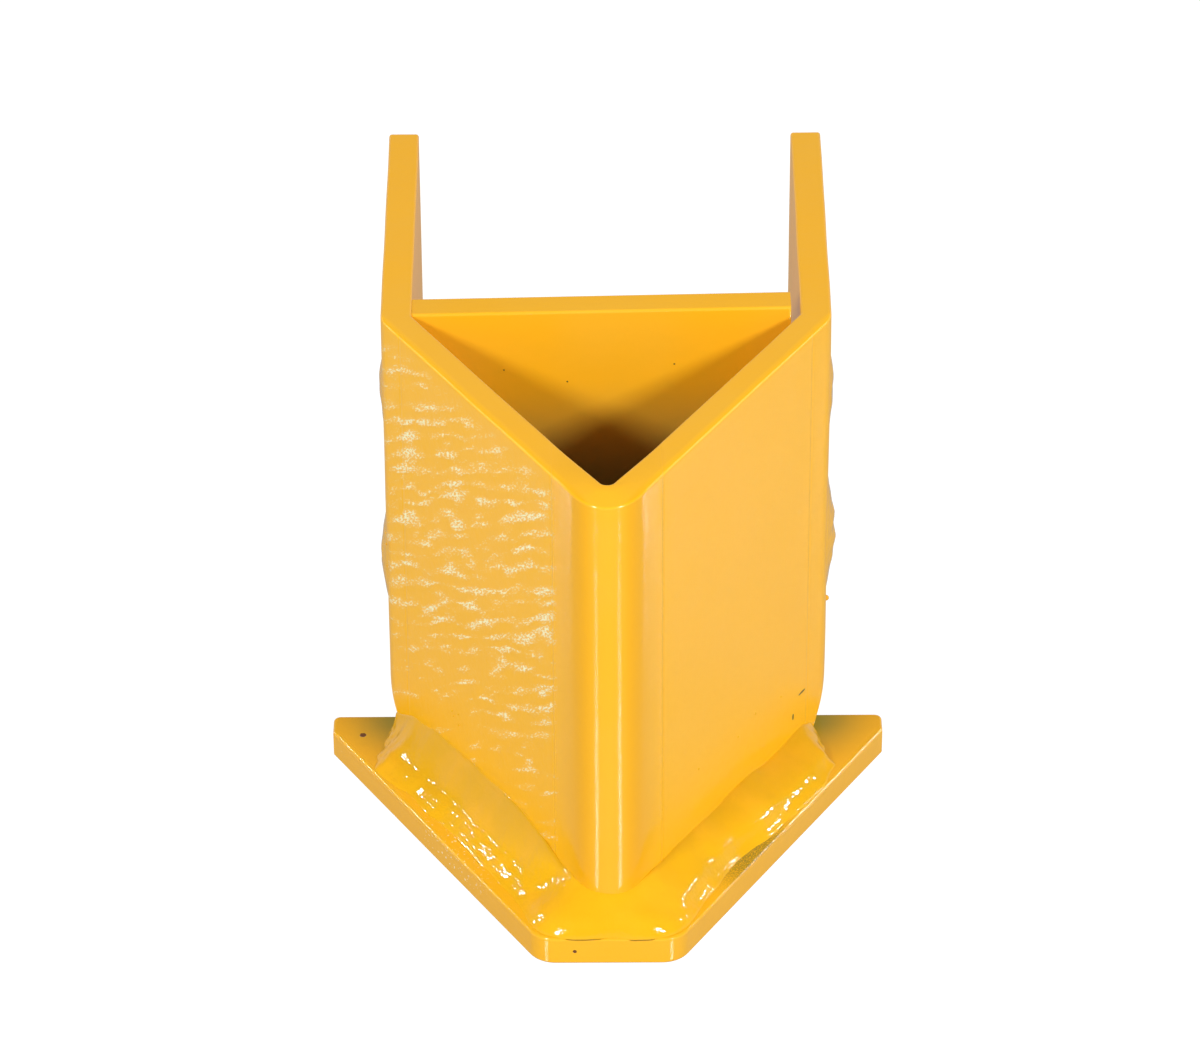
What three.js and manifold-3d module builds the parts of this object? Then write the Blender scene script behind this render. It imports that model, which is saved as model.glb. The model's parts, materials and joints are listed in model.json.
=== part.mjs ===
// V-nosed guard for a pallet-rack post: a bent nose plate with two legs, a back plate that closes the nose,
// a floor plate, and the weld beads that hold them together. Millimetres, +Z up. The nose points to -Y and
// the legs reach to +Y. The origin is on the floor, under the middle of the guard's footprint.

import * as THREE from "three";
import { mergeVertices } from "three/addons/utils/BufferGeometryUtils.js";
import Module from "manifold-3d";

// ---------------------------------------------------------------- driving dimensions

const PLATE = 6.35; // thickness of the nose plate and the back plate, 1/4 in
const BASE = 6.35; // thickness of the floor plate, 1/4 in
const POST_GAP = 79.375; // clear width between the legs, 3 1/8 in for a 3 in post
const NOSE_HEIGHT = 101.6; // height of the nose above the floor plate, 4 in
const FACE_ANGLE = THREE.MathUtils.degToRad(58.5); // between a face of the nose and the X axis, in plan
const INSIDE_BEND_RADIUS = 1.6;
const REACH = 74.7; // from the bends back to the leg ends, and forward to the front of the floor plate
const LEG_CLEARANCE = 12.7; // the legs and the back plate stop this far above the floor plate
const GAP = 0.3; // left between pieces that touch on the real guard

const BASE_HALF_WIDTH = 58.4;
const BASE_BACK_Y = 2.9;
const BASE_SIDE_LENGTH = 5.7;
const BASE_FRONT_RADIUS = 6.35;
const BASE_BACK_RADIUS = 1.5;
const ANCHOR_HOLE_RADIUS = 7.15; // for a 1/2 in floor anchor

const BACK_PLATE_FRONT_Y = 3.0;
const BACK_PLATE_SIDE_GAP = 0.85;
const TABS = [
  { name: "upper", centre: 80, length: 8 },
  { name: "lower", centre: 42, length: 14 },
]; // centre is the height above the floor plate
const TAB_SETBACK = 1.2; // the tabs stop this far short of the legs' outer faces

const SIDE_BEADS = {
  left: { side: -1, width: 9.5, height: 10.8 },
  right: { side: 1, width: 10.2, height: 7.0 },
};
const NOSE_BEAD = { width: 5.6, height: 6.8 };
const BEAD_START = 5.0; // from a rear bend to the start of a side bead, along the face
const BEAD_TAPER = 9.0; // length over which a side bead swells to its full size

const SLOT_WELDS = [
  { name: "slot_weld_left_upper", side: -1, centre: 80.5, length: 18, width: 12, proud: 0.75 },
  { name: "slot_weld_left_lower", side: -1, centre: 40.5, length: 27, width: 12, proud: 1.3 },
  { name: "slot_weld_right_upper", side: 1, centre: 79.5, length: 21, width: 12, proud: 0.85 },
  { name: "slot_weld_right_lower", side: 1, centre: 44.5, length: 33, width: 12, proud: 1.7 },
];

// ---------------------------------------------------------------- worked out from them

const OUTSIDE_BEND_RADIUS = INSIDE_BEND_RADIUS + PLATE;
const INNER_X = POST_GAP / 2;
const OUTER_X = INNER_X + PLATE;
const SLOPE = Math.tan(FACE_ANGLE);
const TOP = BASE + NOSE_HEIGHT;
const LEG_BOTTOM = BASE + LEG_CLEARANCE;
const NOSE_TIP_Y = -OUTER_X * SLOPE; // where the outer faces would meet if the nose were sharp
const NOSE_HALF_ANGLE = Math.PI / 2 - FACE_ANGLE;
const NOSE_CENTRE_Y = NOSE_TIP_Y + OUTSIDE_BEND_RADIUS / Math.sin(NOSE_HALF_ANGLE);
const FACE_LENGTH = OUTER_X / Math.cos(FACE_ANGLE); // along an outer face, from its bend to the sharp tip
const FACE_END = FACE_LENGTH - OUTSIDE_BEND_RADIUS / Math.tan(NOSE_HALF_ANGLE); // where the nose bend begins

const BEND_SEGMENTS = 10; // per rounded corner
const BEAD_SECTION_POINTS = 7;

const wasm = await Module();
wasm.setup();

// ---------------------------------------------------------------- solids

function toSolid(geometry) {
  const bare = geometry.clone();
  for (const name of ["normal", "uv"]) {
    bare.deleteAttribute(name);
  }
  const merged = mergeVertices(bare, 1e-4);
  const vertProperties = new Float32Array(merged.attributes.position.array);
  const triVerts = new Uint32Array(merged.index.array);
  return new wasm.Manifold(new wasm.Mesh({ numProp: 3, vertProperties, triVerts }));
}

function toGeometry(solid) {
  const mesh = solid.getMesh();
  return new THREE.BufferGeometry()
    .setAttribute("position", new THREE.BufferAttribute(new Float32Array(mesh.vertProperties), 3))
    .setIndex(new THREE.BufferAttribute(new Uint32Array(mesh.triVerts), 1));
}

// A shape drawn in XY and raised from one height to another.
function prismZ(shape, bottom, top) {
  const options = { depth: top - bottom, bevelEnabled: false, curveSegments: BEND_SEGMENTS };
  return new THREE.ExtrudeGeometry(shape, options).translate(0, 0, bottom);
}

// A shape drawn in XZ and given a thickness from frontY back to backY.
function prismY(shape, frontY, backY) {
  const options = { depth: backY - frontY, bevelEnabled: false };
  return new THREE.ExtrudeGeometry(shape, options).rotateX(Math.PI / 2).translate(0, backY, 0);
}

// A shape drawn in YZ and given a thickness from leftX to rightX.
function prismX(shape, leftX, rightX) {
  const axes = new THREE.Matrix4().makeBasis(
    new THREE.Vector3(0, 1, 0),
    new THREE.Vector3(0, 0, 1),
    new THREE.Vector3(1, 0, 0),
  );
  const options = { depth: rightX - leftX, bevelEnabled: false };
  return new THREE.ExtrudeGeometry(shape, options).applyMatrix4(axes).translate(leftX, 0, 0);
}

function box(min, max) {
  const size = new THREE.Vector3().subVectors(max, min);
  const centre = new THREE.Vector3().addVectors(min, max).multiplyScalar(0.5);
  return new THREE.BoxGeometry(size.x, size.y, size.z).translate(centre.x, centre.y, centre.z);
}

// A closed outline through corners, each rounded by an arc of its own radius (0 keeps it sharp).
function roundedShape(corners) {
  const points = [];
  corners.forEach(({ at, radius }, i) => {
    if (!radius) {
      points.push(at.clone());
      return;
    }
    const before = corners[(i + corners.length - 1) % corners.length].at;
    const after = corners[(i + 1) % corners.length].at;
    const toBefore = before.clone().sub(at).normalize();
    const toAfter = after.clone().sub(at).normalize();
    const half = Math.acos(toBefore.dot(toAfter)) / 2;
    const bisector = toBefore.clone().add(toAfter).normalize();
    const centre = at.clone().addScaledVector(bisector, radius / Math.sin(half));
    const tangent = radius / Math.tan(half);
    const start = at.clone().addScaledVector(toBefore, tangent).sub(centre);
    const end = at.clone().addScaledVector(toAfter, tangent).sub(centre);
    const sweep = Math.atan2(start.cross(end), start.dot(end));
    for (let k = 0; k <= BEND_SEGMENTS; k++) {
      const turned = start.clone().rotateAround(new THREE.Vector2(), (sweep * k) / BEND_SEGMENTS);
      points.push(turned.add(centre));
    }
  });
  return new THREE.Shape(points);
}

const corner = (x, y, radius = 0) => ({ at: new THREE.Vector2(x, y), radius });

// ---------------------------------------------------------------- nose plate

// In plan the plate runs from the left leg's end round the nose to the right leg's end: the outer outline
// first, then the inner one back again.
function nosePlateOutline() {
  const innerBendY = PLATE * Math.tan(NOSE_HALF_ANGLE / 2);
  const innerTipY = NOSE_TIP_Y + PLATE / Math.cos(FACE_ANGLE);
  return roundedShape([
    corner(-OUTER_X, REACH),
    corner(-OUTER_X, 0, OUTSIDE_BEND_RADIUS),
    corner(0, NOSE_TIP_Y, OUTSIDE_BEND_RADIUS),
    corner(OUTER_X, 0, OUTSIDE_BEND_RADIUS),
    corner(OUTER_X, REACH),
    corner(INNER_X, REACH),
    corner(INNER_X, innerBendY, INSIDE_BEND_RADIUS),
    corner(0, innerTipY, INSIDE_BEND_RADIUS),
    corner(-INNER_X, innerBendY, INSIDE_BEND_RADIUS),
    corner(-INNER_X, REACH),
  ]);
}

// Seen from the side, the stock that is cut away: all of it under the legs, and a slanting corner under
// each rear bend.
function legCutOutline() {
  const cutFrontY = -4.35;
  const cutRearY = 2.4;
  const below = BASE - 1;
  const behind = REACH + 1;
  return new THREE.Shape([
    new THREE.Vector2(cutFrontY, below),
    new THREE.Vector2(behind, below),
    new THREE.Vector2(behind, LEG_BOTTOM),
    new THREE.Vector2(cutRearY, LEG_BOTTOM),
    new THREE.Vector2(cutFrontY, BASE + GAP),
  ]);
}

// One box that cuts a tab's slot through both legs.
function slotCutter({ centre, length }) {
  const half = length / 2 + GAP;
  return box(
    new THREE.Vector3(-OUTER_X - 1, BACK_PLATE_FRONT_Y - GAP, BASE + centre - half),
    new THREE.Vector3(OUTER_X + 1, BACK_PLATE_FRONT_Y + PLATE + GAP, BASE + centre + half),
  );
}

function nosePlate() {
  let solid = toSolid(prismZ(nosePlateOutline(), BASE + GAP, TOP));
  solid = solid.subtract(toSolid(prismX(legCutOutline(), -OUTER_X - 1, OUTER_X + 1)));
  for (const tab of TABS) {
    solid = solid.subtract(toSolid(slotCutter(tab)));
  }
  return toGeometry(solid);
}

// ---------------------------------------------------------------- back plate

function backPlate() {
  const halfWidth = INNER_X - BACK_PLATE_SIDE_GAP;
  const tabReach = OUTER_X - TAB_SETBACK;
  const rightEdge = [new THREE.Vector2(halfWidth, TOP)];
  for (const { centre, length } of TABS) {
    const top = BASE + centre + length / 2;
    const bottom = top - length;
    rightEdge.push(
      new THREE.Vector2(halfWidth, top),
      new THREE.Vector2(tabReach, top),
      new THREE.Vector2(tabReach, bottom),
      new THREE.Vector2(halfWidth, bottom),
    );
  }
  rightEdge.push(new THREE.Vector2(halfWidth, LEG_BOTTOM));
  const leftEdge = rightEdge.map((p) => new THREE.Vector2(-p.x, p.y)).reverse();
  const shape = new THREE.Shape([...leftEdge, ...rightEdge]);
  return prismY(shape, BACK_PLATE_FRONT_Y, BACK_PLATE_FRONT_Y + PLATE);
}

// ---------------------------------------------------------------- floor plate

function basePlate() {
  const sideFrontY = BASE_BACK_Y - BASE_SIDE_LENGTH;
  const frontHalfWidth = BASE_HALF_WIDTH - (sideFrontY + REACH) / SLOPE;
  const shape = roundedShape([
    corner(-BASE_HALF_WIDTH, BASE_BACK_Y, BASE_BACK_RADIUS),
    corner(-BASE_HALF_WIDTH, sideFrontY),
    corner(-frontHalfWidth, -REACH, BASE_FRONT_RADIUS),
    corner(frontHalfWidth, -REACH, BASE_FRONT_RADIUS),
    corner(BASE_HALF_WIDTH, sideFrontY),
    corner(BASE_HALF_WIDTH, BASE_BACK_Y, BASE_BACK_RADIUS),
  ]);
  // The anchor hole sits in the middle of the largest circle that fits in the pocket.
  const pocketDepth = BACK_PLATE_FRONT_Y - (NOSE_TIP_Y + PLATE / Math.cos(FACE_ANGLE));
  const pocketHalfWidth = pocketDepth / SLOPE;
  const pocketSide = Math.hypot(pocketDepth, pocketHalfWidth);
  const pocketRadius = (pocketDepth * pocketHalfWidth) / (pocketHalfWidth + pocketSide);
  const hole = new THREE.Path();
  hole.absarc(0, BACK_PLATE_FRONT_Y - pocketRadius, ANCHOR_HOLE_RADIUS, 0, 2 * Math.PI, true);
  shape.holes.push(hole);
  return prismZ(shape, 0, BASE);
}

// ---------------------------------------------------------------- fillet beads on the floor plate

// A bead is a row of convex fillet sections. Each station gives the point in plan where the section meets
// the nose plate, the direction away from the plate, and the width and height of the section. The stations
// run from the right to the left of the guard.
function bead(stations) {
  const positions = [];
  const index = [];
  const count = BEAD_SECTION_POINTS + 1;
  for (const { foot, out, width, height } of stations) {
    const section = [[GAP, GAP]];
    for (let k = 0; k < BEAD_SECTION_POINTS; k++) {
      const t = k / (BEAD_SECTION_POINTS - 1);
      const swell = 0.16 * Math.min(width, height) * Math.sin(Math.PI * t);
      section.push([GAP + (width - GAP) * (1 - t) + swell, GAP + (height - GAP) * t + swell]);
    }
    for (const [distance, rise] of section) {
      positions.push(foot.x + out.x * distance, foot.y + out.y * distance, BASE + rise);
    }
  }
  for (let i = 0; i + 1 < stations.length; i++) {
    for (let k = 0; k < count; k++) {
      const a = i * count + k;
      const b = i * count + ((k + 1) % count);
      index.push(a, b, a + count, b, b + count, a + count);
    }
  }
  const last = (stations.length - 1) * count;
  for (let k = 1; k + 1 < count; k++) {
    index.push(0, k + 1, k);
    index.push(last, last + k, last + k + 1);
  }
  return new THREE.BufferGeometry()
    .setAttribute("position", new THREE.Float32BufferAttribute(positions, 3))
    .setIndex(index);
}

// Along one face of the nose, from the rear bend to the start of the nose bend. Its rear end is rounded.
function sideBead({ side, width, height }) {
  const out = new THREE.Vector2(side * Math.sin(FACE_ANGLE), -Math.cos(FACE_ANGLE));
  const along = new THREE.Vector2(-side * Math.cos(FACE_ANGLE), -Math.sin(FACE_ANGLE));
  const taperSteps = 6;
  const stations = [];
  for (let k = 1; k <= taperSteps; k++) {
    const t = k / taperSteps;
    const size = Math.sqrt(1 - (1 - t) ** 2);
    const foot = new THREE.Vector2(side * OUTER_X, 0).addScaledVector(along, BEAD_START + BEAD_TAPER * t);
    stations.push({ foot, out, width: width * size, height: height * size });
  }
  const foot = new THREE.Vector2(side * OUTER_X, 0).addScaledVector(along, FACE_END - GAP);
  stations.push({ foot, out, width, height });
  return bead(side < 0 ? stations.reverse() : stations);
}

// Round the nose bend, from the right face to the left one.
function noseBead() {
  const centre = new THREE.Vector2(0, NOSE_CENTRE_Y);
  const steps = 14;
  const stations = [];
  for (let k = 0; k <= steps; k++) {
    const turn = FACE_ANGLE * (1 - (2 * k) / steps);
    const out = new THREE.Vector2(Math.sin(turn), -Math.cos(turn));
    stations.push({ foot: centre.clone().addScaledVector(out, OUTSIDE_BEND_RADIUS), out, ...NOSE_BEAD });
  }
  return bead(stations);
}

// ---------------------------------------------------------------- welds over the slots

// A low oval cap on the outer face of a leg.
function slotWeld({ side, centre, length, width, proud }) {
  const bulge = 1.4; // how much deeper than the cap the full oval is
  const middleY = BACK_PLATE_FRONT_Y + PLATE / 2;
  const oval = new THREE.SphereGeometry(1, 24, 16);
  oval.rotateX(Math.PI / 2).scale(proud * bulge, width / 2, length / 2);
  oval.translate(side * (OUTER_X + proud - proud * bulge), middleY, BASE + centre);
  const inner = OUTER_X + GAP;
  const outer = OUTER_X + 5;
  const keep = box(
    new THREE.Vector3(side < 0 ? -outer : inner, middleY - width, BASE),
    new THREE.Vector3(side < 0 ? -inner : outer, middleY + width, TOP),
  );
  return toGeometry(toSolid(oval).intersect(toSolid(keep)));
}

// ---------------------------------------------------------------- the guard

const yellowPaint = () => new THREE.MeshStandardMaterial({ color: 0xf2ae1e, roughness: 0.38, metalness: 0 });
const weldPaint = () => new THREE.MeshStandardMaterial({ color: 0xeeb010, roughness: 0.25, metalness: 0 });

function piece(name, geometry, material) {
  const mesh = new THREE.Mesh(geometry, material);
  mesh.name = name;
  return mesh;
}

const guard = new THREE.Group();
guard.name = "rack_post_guard";
guard.add(piece("nose_plate", nosePlate(), yellowPaint()));
guard.add(piece("back_plate", backPlate(), yellowPaint()));
guard.add(piece("base_plate", basePlate(), yellowPaint()));

const welds = new THREE.Group();
for (const [name, size] of Object.entries(SIDE_BEADS)) {
  welds.add(piece(`base_weld_${name}`, sideBead(size), weldPaint()));
}
welds.add(piece("base_weld_nose", noseBead(), weldPaint()));
for (const weld of SLOT_WELDS) {
  welds.add(piece(weld.name, slotWeld(weld), weldPaint()));
}
guard.add(welds);

export default guard;
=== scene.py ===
"""A V-nosed steel guard for a pallet-rack post, painted safety yellow, on a white studio floor.

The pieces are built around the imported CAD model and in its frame: the nose points to -Y, the legs reach
back to +Y, and the floor is at Z = 0. Lengths here are in millimetres until `make_piece` turns them into
metres.
"""

import json
import math
import random

import bmesh
import bpy
from mathutils import Matrix, Vector, noise


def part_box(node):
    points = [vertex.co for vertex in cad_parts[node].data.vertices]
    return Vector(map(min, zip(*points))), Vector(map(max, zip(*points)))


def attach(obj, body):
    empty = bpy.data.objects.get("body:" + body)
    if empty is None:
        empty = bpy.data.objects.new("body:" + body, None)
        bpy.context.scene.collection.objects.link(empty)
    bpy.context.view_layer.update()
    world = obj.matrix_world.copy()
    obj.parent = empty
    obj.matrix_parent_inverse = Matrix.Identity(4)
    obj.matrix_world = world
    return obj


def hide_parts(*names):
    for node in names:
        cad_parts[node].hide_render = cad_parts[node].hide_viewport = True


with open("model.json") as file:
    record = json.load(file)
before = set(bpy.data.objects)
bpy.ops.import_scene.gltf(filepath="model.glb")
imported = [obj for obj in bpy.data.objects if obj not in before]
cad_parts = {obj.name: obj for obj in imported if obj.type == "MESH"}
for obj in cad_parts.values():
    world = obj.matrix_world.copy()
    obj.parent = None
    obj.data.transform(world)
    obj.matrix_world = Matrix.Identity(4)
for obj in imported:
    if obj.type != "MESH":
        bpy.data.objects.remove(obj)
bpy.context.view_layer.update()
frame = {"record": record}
noise.seed_set(1)  # without a seed, noise_vector differs from run to run

MM = 0.001


def box_mm(node):
    """The lowest and highest corner of a CAD node, in millimetres."""
    low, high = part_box(node)
    return low / MM, high / MM


_, NOSE_HIGH = box_mm("nose_plate")
BACK_LOW, BACK_HIGH = box_mm("back_plate")
BASE_LOW, BASE_HIGH = box_mm("base_plate")

# The plates, as the CAD model has them.
PLATE = 6.35
FACE_ANGLE = math.radians(58.5)  # between a face of the nose and the X axis
OUTER_X = NOSE_HIGH.x
INNER_X = OUTER_X - PLATE
REACH = NOSE_HIGH.y
TOP = NOSE_HIGH.z
BASE_TOP = BASE_HIGH.z
LEG_BOTTOM = BACK_LOW.z
INNER_CORNER_Y = PLATE * math.tan((math.pi / 2 - FACE_ANGLE) / 2)

EDGE = 0.6  # radius that the paint leaves on a plate's edges
SHARPEST_EDGE = 0.06
ROUND_STEPS = 4  # faces round one such edge
FACE_ROWS = 26  # rows of faces up the nose plate


# ---------------------------------------------------------------- making objects


def make_piece(name, vertices, faces, material, nodes=()):
    """A smooth-shaded mesh that rides on the guard and stands for the CAD nodes named."""
    mesh = bpy.data.meshes.new(name)
    mesh.from_pydata([Vector(v) * MM for v in vertices], [], faces)
    mesh.validate()
    mesh.shade_smooth()
    mesh.materials.append(material)
    piece = bpy.data.objects.new(name, mesh)
    bpy.context.scene.collection.objects.link(piece)
    piece.modifiers.new("face normals", "WEIGHTED_NORMAL")
    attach(piece, "root")
    if nodes:
        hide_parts(*nodes)
    return piece


def join_loops(loop_count, loop_size):
    """Quads between neighbouring closed loops of vertices."""
    faces = []
    for i in range(loop_count - 1):
        for k in range(loop_size):
            here = i * loop_size + k
            beside = i * loop_size + (k + 1) % loop_size
            faces.append((here, beside, beside + loop_size, here + loop_size))
    return faces


def loft(loops):
    """Vertices and faces of a closed tube through loops of equal size, with a flat face on each end."""
    size = len(loops[0])
    vertices = [point for loop in loops for point in loop]
    faces = join_loops(len(loops), size)
    first = tuple(reversed(range(size)))
    last = tuple(range(len(vertices) - size, len(vertices)))
    return vertices, faces + [first, last]


def interpolate(knots, at):
    """A smooth curve through (position, value) knots, level at each knot."""
    if at <= knots[0][0]:
        return knots[0][1]
    for (x0, y0), (x1, y1) in zip(knots, knots[1:]):
        if at <= x1:
            t = (at - x0) / (x1 - x0)
            return y0 + (y1 - y0) * t * t * (3 - 2 * t)
    return knots[-1][1]


def rounded_edge(radius):
    """(inset, rise) of each step round an edge, from a plate's flat face to its side."""
    turns = [math.pi / 2 * k / ROUND_STEPS for k in range(ROUND_STEPS + 1)]
    return [(radius * (1 - math.sin(turn)), radius * (1 - math.cos(turn))) for turn in turns]


def uneven(point, wavelength, amount):
    """The point, moved a little by smooth noise: no rolled plate or hand-laid bead is quite true."""
    return point + noise.noise_vector(point / wavelength) * amount


# ---------------------------------------------------------------- nose plate

NOSE_STEPS = 18
FACE_STEPS = 44
REAR_STEPS = 8
LEG_STEPS = 24
OUTER_NOSE_BEND = {"length": 12.32, "core": 0.2}
INNER_NOSE_BEND = {"length": 2.1, "core": 0.5}
OUTER_REAR_RADIUS = 7.95
INNER_REAR_RADIUS = 1.6
CUT_FRONT_Y = -4.35  # where the slanting cut under a rear bend leaves the floor plate
CUT_REAR_Y = 2.4  # where it reaches the leg's lower edge
LIP_LENGTH = 10.0  # how far the upset of the nose bend spreads from its middle
LIP_OUTER = -0.65  # what it does to the height of the top edge, outside and inside
LIP_INNER = 0.7


def bend(heading, turn, length, core, steps):
    """Offset and heading at each step along a bend. Its curvature is even over the first `core` share of
    the length, and fades to nothing at the end."""
    substeps = 24
    count = steps * substeps
    shares = []
    for i in range(count):
        along = (i + 0.5) / count
        fade = 0.0 if along < core else (along - core) / (1 - core)
        shares.append(0.5 + 0.5 * math.cos(math.pi * fade))
    x = y = 0.0
    stations = []
    for i, share in enumerate(shares):
        heading += turn * share / sum(shares)
        x += math.cos(heading) * length / count
        y += math.sin(heading) * length / count
        if (i + 1) % substeps == 0:
            stations.append((x, y, heading))
    return stations


def half_path(half_width, corner_y, nose_bend, rear_radius):
    """One surface of the nose plate in plan, from the middle of the nose to the end of the right leg, as
    (x, y, heading) stations."""
    rear_turn = math.pi / 2 - FACE_ANGLE
    nose = bend(0.0, FACE_ANGLE, steps=NOSE_STEPS, **nose_bend)
    rear = bend(FACE_ANGLE, rear_turn, rear_radius * rear_turn, 1.0, REAR_STEPS)
    nose_x, nose_rise, _ = nose[-1]
    rear_x, rear_rise, _ = rear[-1]
    face_y = corner_y - (half_width - nose_x) * math.tan(FACE_ANGLE)
    tip_y = face_y - nose_rise
    path = [(0.0, tip_y, 0.0)]
    path += [(x, tip_y + y, heading) for x, y, heading in nose]
    face = (half_width - rear_x - nose_x) / math.cos(FACE_ANGLE)
    for i in range(1, FACE_STEPS + 1):
        along = face * i / FACE_STEPS
        x = nose_x + along * math.cos(FACE_ANGLE)
        path.append((x, face_y + along * math.sin(FACE_ANGLE), FACE_ANGLE))
    start_x, start_y, _ = path[-1]
    path += [(start_x + x, start_y + y, heading) for x, y, heading in rear]
    leg_y = start_y + rear_rise
    for i in range(1, LEG_STEPS + 1):
        y = leg_y + (REACH - EDGE - leg_y) * i / LEG_STEPS
        path.append((half_width, y, math.pi / 2))
    return path


def whole_path(half):
    """Both halves of a surface, from the end of the left leg to the end of the right one."""
    left = [(-x, y, -heading) for x, y, heading in reversed(half[1:])]
    return left + half


OUTER_PATH = whole_path(half_path(OUTER_X, 0.0, OUTER_NOSE_BEND, OUTER_REAR_RADIUS))
INNER_PATH = whole_path(half_path(INNER_X, INNER_CORNER_Y, INNER_NOSE_BEND, INNER_REAR_RADIUS))
INNER_TIP_Y = INNER_PATH[len(INNER_PATH) // 2][1]


def lower_edge(y):
    """Height of the nose plate's lower edge: on the floor plate, then up the slanting cut to the leg."""
    share = (y - CUT_FRONT_Y) / (CUT_REAR_Y - CUT_FRONT_Y)
    return BASE_TOP + (LEG_BOTTOM - BASE_TOP) * min(max(share, 0.0), 1.0)


def upset(x):
    """How much of the nose bend's upset is left at this distance from its middle."""
    near = max(0.0, 1.0 - abs(x) / LIP_LENGTH)
    return near * near * (3 - 2 * near)


def plate_section(outer, inner, shrink=0.0, back=0.0):
    """The outline of the nose plate across one station, with rounded edges. `shrink` draws it in all
    round and `back` moves it towards +Y, which together round off the end of a leg."""
    radius = max(EDGE - shrink, SHARPEST_EDGE)
    edge = rounded_edge(radius)
    surfaces = []
    for (x, y, heading), away, lift in ((outer, 1, LIP_OUTER), (inner, -1, LIP_INNER)):
        normal = Vector((math.sin(heading), -math.cos(heading), 0)) * away
        foot = Vector((x, y + back, 0))
        bottom = lower_edge(y) + shrink
        top = TOP + lift * upset(x) - shrink
        rising = [(shrink + inset, bottom + rise) for inset, rise in edge]
        for k in range(1, FACE_ROWS):
            rising.append((shrink, bottom + radius + (top - bottom - 2 * radius) * k / FACE_ROWS))
        rising += [(shrink + inset, top - rise) for inset, rise in reversed(edge)]
        surfaces.append([foot - normal * inset + Vector((0, 0, z)) for inset, z in rising])
    outside, inside = surfaces
    inside.reverse()
    across_top = [outside[-1].lerp(inside[0], share) for share in (1 / 3, 2 / 3)]
    across_bottom = [inside[-1].lerp(outside[0], share) for share in (1 / 3, 2 / 3)]
    return outside + across_top + inside + across_bottom


def leg_end(outer, inner):
    """Sections that round off the end of a leg, from its last station outwards."""
    sections = []
    for k in range(1, ROUND_STEPS + 1):
        turn = math.pi / 2 * k / ROUND_STEPS
        shrink = EDGE * (1 - math.cos(turn))
        back = EDGE * math.sin(turn)
        sections.append(plate_section(outer, inner, shrink, back))
    return sections


def nose_plate(material):
    """One plate with three bends: the V nose and the two legs."""
    left_end = leg_end(OUTER_PATH[0], INNER_PATH[0])
    right_end = leg_end(OUTER_PATH[-1], INNER_PATH[-1])
    sections = [plate_section(outer, inner) for outer, inner in zip(OUTER_PATH, INNER_PATH)]
    loops = []
    for section in left_end[::-1] + sections + right_end:
        loops.append([uneven(point, wavelength=16, amount=0.1) for point in section])
    vertices, faces = loft(loops)
    return make_piece("nose_plate_painted", vertices, faces, material, ["nose_plate"])


# ---------------------------------------------------------------- flat plates

BASE_SIDE = 5.7  # length of the floor plate's short square sides
BASE_BACK_RADIUS = 1.5
BASE_SIDE_RADIUS = 0.5
BASE_FRONT_RADIUS = 6.35
ANCHOR_HOLE_RADIUS = 7.15

LEG_GAP = 0.85  # between the back plate's edges and the legs
TAB_DEPTH = 3.0  # how far its tabs go into the legs
TABS = [(42, 14), (80, 8)]  # (middle above the floor plate, length) of each tab
BACK_TURN_Z = 0.014  # the plate was welded in a little askew
BACK_TURN_Y = -0.009


def rounded_outline(corners, steps=10):
    """A closed outline that rounds each (x, y, radius) corner in a number of steps."""
    points = []
    for i, (x, y, radius) in enumerate(corners):
        at = Vector((x, y))
        before = (Vector(corners[i - 1][:2]) - at).normalized()
        after = (Vector(corners[(i + 1) % len(corners)][:2]) - at).normalized()
        half = before.angle(after) / 2
        centre = at + (before + after).normalized() * radius / math.sin(half)
        start = at + before * radius / math.tan(half) - centre
        end = at + after * radius / math.tan(half) - centre
        sweep = math.atan2(start.cross(end), start.dot(end))
        for k in range(steps + 1):
            points.append(centre + Matrix.Rotation(sweep * k / steps, 2) @ start)
    return points


def inset_outline(points, amount):
    """An anticlockwise outline drawn in by an amount."""
    moved = []
    for i, at in enumerate(points):
        before = (at - points[i - 1]).normalized()
        after = (points[(i + 1) % len(points)] - at).normalized()
        normals = Vector((before.y, -before.x)) + Vector((after.y, -after.x))
        moved.append(at - normals * amount * 2 / normals.length_squared)
    return moved


def plate_rings(outline, thickness, inward):
    """The outline at each height up a plate's rounded side. `inward` is 1 round the plate and -1 round
    a hole, which the edges widen."""
    edge = rounded_edge(EDGE)
    steps = edge + [(inset, thickness - rise) for inset, rise in reversed(edge)]
    rings = []
    for inset, height in steps:
        rings.append([Vector((p.x, p.y, height)) for p in inset_outline(outline, inward * inset)])
    return rings


def plate_mesh(outline, thickness, hole=None):
    """Vertices and faces of a plate that lies in XY, with rounded edges and perhaps a hole."""
    loops = plate_rings(outline, thickness, 1)
    vertices, faces = loft(loops)
    if hole is None:
        return vertices, faces
    faces = faces[:-2]
    size = len(outline)
    first_hole_vertex = len(vertices)
    hole_loops = plate_rings(hole, thickness, -1)
    vertices += [point for loop in hole_loops for point in loop]
    for a, b, c, d in join_loops(len(hole_loops), len(hole)):
        faces.append(tuple(first_hole_vertex + k for k in (d, c, b, a)))
    for ring, up in ((0, -1), (len(loops) - 1, 1)):
        outer = range(ring * size, (ring + 1) * size)
        start = first_hole_vertex + ring * len(hole)
        inner = range(start, start + len(hole))
        faces += fill_between(vertices, outer, inner, up)
    return vertices, faces


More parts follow.
